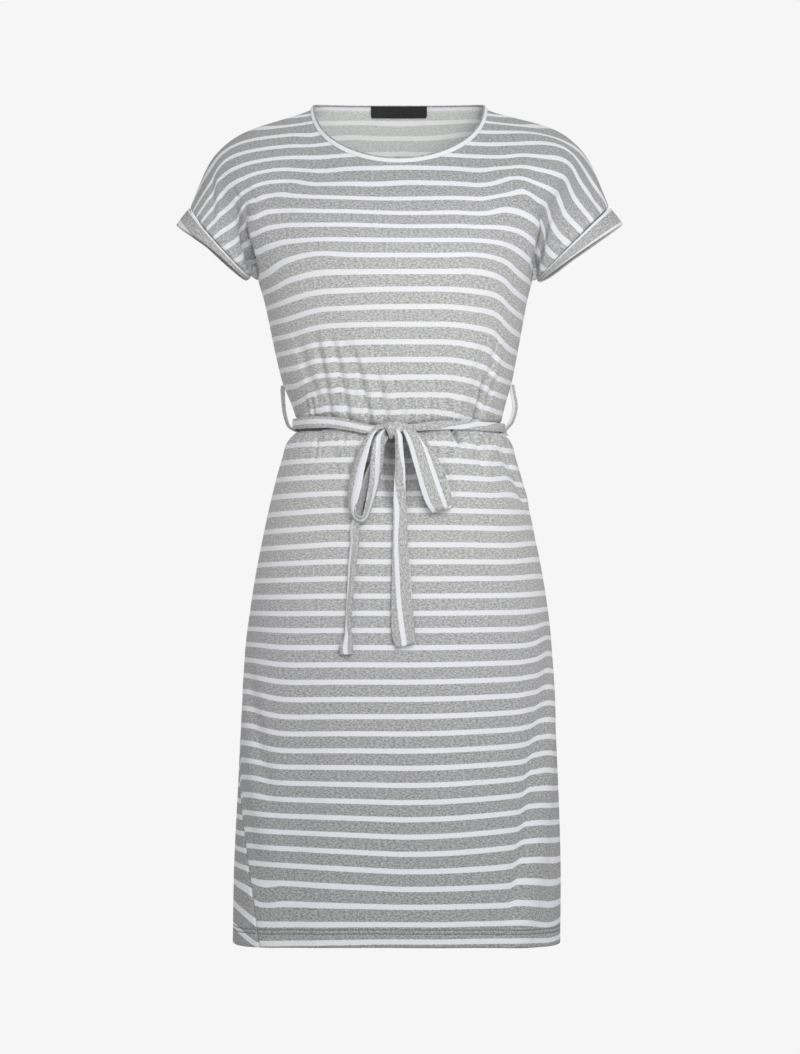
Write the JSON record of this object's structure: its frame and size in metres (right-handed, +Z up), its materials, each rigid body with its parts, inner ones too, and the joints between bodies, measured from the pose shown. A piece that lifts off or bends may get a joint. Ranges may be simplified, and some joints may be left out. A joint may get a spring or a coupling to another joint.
{
  "type": "short-sleeved T-shirt dress with a tie belt",
  "caption": "Striped jersey dress in its hollow worn form, with cut-on short sleeves, a gathered waist and a tie belt in a bow.",
  "frame": {"origin": "on the wearer's shoulder line, midway between the two ends of the neck opening", "axes": "+Z up, the front faces -Y, +X is on the right of someone who looks at the front"},
  "size_m": [0.5348, 0.274, 1.0127],
  "materials": {
    "striped_jersey": "matt grey marl jersey with narrow white stripes",
    "striped_band": "matt grey marl jersey with narrow white stripes, folded double",
    "dark_label": "plain satin-woven label"
  },
  "bodies": {
    "root": {"bodice_front": "striped_jersey", "bodice_back": "striped_jersey", "skirt_front": "striped_jersey", "skirt_back": "striped_jersey", "neck_binding": "striped_band", "cuff_left": "striped_band", "cuff_right": "striped_band", "belt_round": "striped_band", "belt_loop_left": "striped_band", "belt_loop_right": "striped_band", "bow_knot": "striped_band", "bow_loop_left": "striped_band", "bow_loop_right": "striped_band", "bow_tail_left": "striped_band", "bow_tail_right": "striped_band", "neck_label": "dark_label"}
  },
  "joints": []
}
